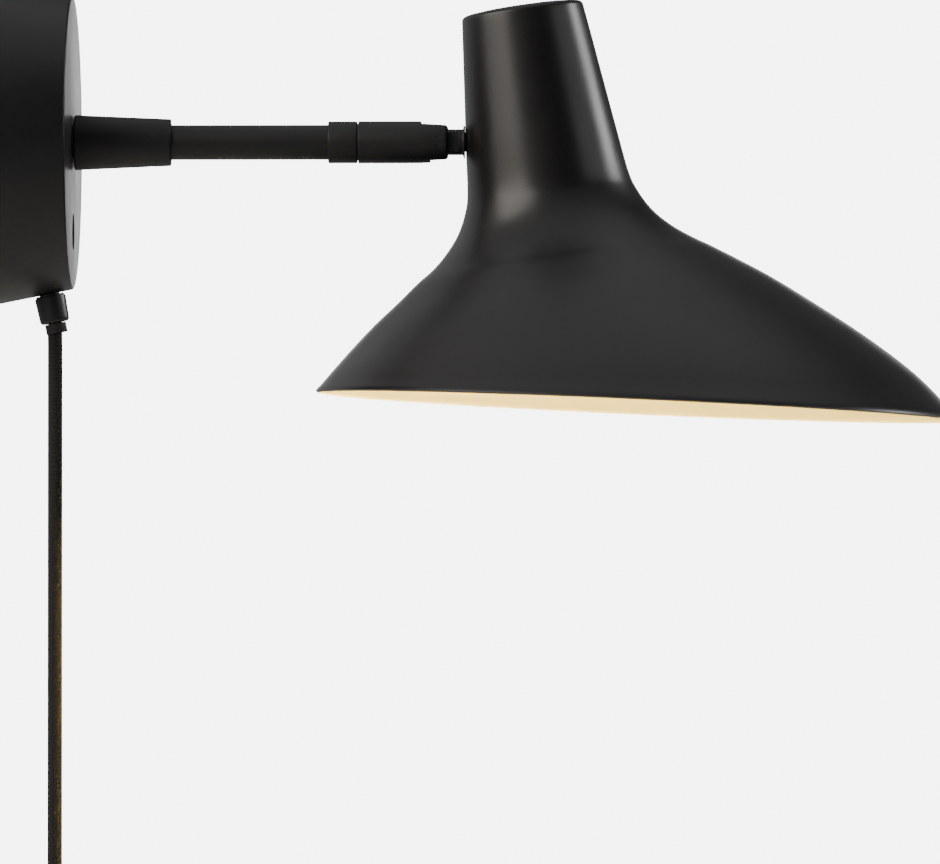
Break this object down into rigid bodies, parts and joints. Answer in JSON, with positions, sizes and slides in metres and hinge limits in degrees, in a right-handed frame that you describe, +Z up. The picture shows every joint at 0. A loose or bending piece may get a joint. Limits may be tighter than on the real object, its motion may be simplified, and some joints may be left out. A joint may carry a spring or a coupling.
{
  "type": "swing arm wall sconce",
  "caption": "Wall light with a round canopy and push button, a straight arm, a swivelling and tilting knuckle, a hat-shaped metal shade and a plug-in textile cord.",
  "frame": {"origin": "centre of the wall bracket's back, where the arm's axis meets the wall", "axes": "+X out of the wall along the arm, +Z up, +Y to the far side when the arm points right"},
  "size_m": [0.4002, 0.2632, 0.5651],
  "materials": {
    "canopy_paint": "satin black powder coat",
    "arm_paint": "satin black powder coat",
    "shade_aluminium": "spun aluminium with satin black paint outside and cream-white paint inside",
    "steel": "zinc plated",
    "lamp_metal": "bright",
    "brass": "plain brass, plug pins nickel plated",
    "black_plastic": "fine matt",
    "white_plastic": "plain",
    "rubber": "matt",
    "textile": "black woven textile sleeve",
    "fibre": "vulcanised fibre",
    "opal_glass": "opal"
  },
  "bodies": {
    "wall_unit": {"canopy": "canopy_paint", "arm_sleeve": "arm_paint", "arm_tube": "arm_paint", "cuff": "arm_paint", "canopy_screw_near": "arm_paint", "canopy_screw_far": "arm_paint", "wall_bracket": "steel", "threaded_nipple": "steel", "nipple_nut": "steel", "nipple_washer": "steel", "sleeve_nut": "steel", "sleeve_grub_screw": "steel", "clamp_screw_1": "steel", "clamp_screw_2": "steel", "plug_pin_left": "brass", "plug_pin_right": "brass", "switch_housing": "black_plastic", "cord_clamp": "black_plastic", "gland_body": "black_plastic", "gland_nut": "black_plastic", "plug_body": "black_plastic", "terminal_block": "white_plastic", "gland_bush": "rubber", "coil_tie": "rubber", "plug_relief": "rubber", "cord_drop": "textile", "cord_coil": "textile", "cord_tail": "textile", "lead_supply": "textile", "lead_switch": "textile", "lead_arm": "textile"},
    "button": {"switch_button": "black_plastic"},
    "swivel": {"swivel_body": "arm_paint", "swivel_bolt": "steel", "swivel_spring": "steel", "swivel_washer": "fibre", "pivot_stud_near": "arm_paint", "pivot_stud_far": "arm_paint", "knuckle_washer_near": "fibre", "knuckle_washer_far": "fibre"},
    "head": {"knuckle_tongue": "arm_paint", "neck_washer": "arm_paint", "shank_nut": "steel", "shade": "shade_aluminium", "holder_strap": "steel", "holder_nipple": "steel", "holder_nut": "steel", "holder_cap": "black_plastic", "holder_skirt": "black_plastic", "screw_shell": "brass", "centre_contact": "brass", "bulb_contact": "lamp_metal", "bulb_cap": "lamp_metal", "bulb_globe": "opal_glass", "lead_head": "textile"}
  },
  "joints": [
    {"name": "button_press", "type": "slide", "parent": "wall_unit", "child": "button", "axis": [-1, 0, 0], "range_m": [0, 0.002], "stiffness_N_per_m": 800},
    {"name": "head_swivel", "type": "hinge", "parent": "wall_unit", "child": "swivel", "pos_m": [0.1544, 0, 0], "axis": [1, 0, 0], "range_deg": [-165, 165]},
    {"name": "head_tilt", "type": "hinge", "parent": "swivel", "child": "head", "pos_m": [0.186, 0, 0], "axis": [0, -1, 0], "range_deg": [-45, 75]}
  ]
}
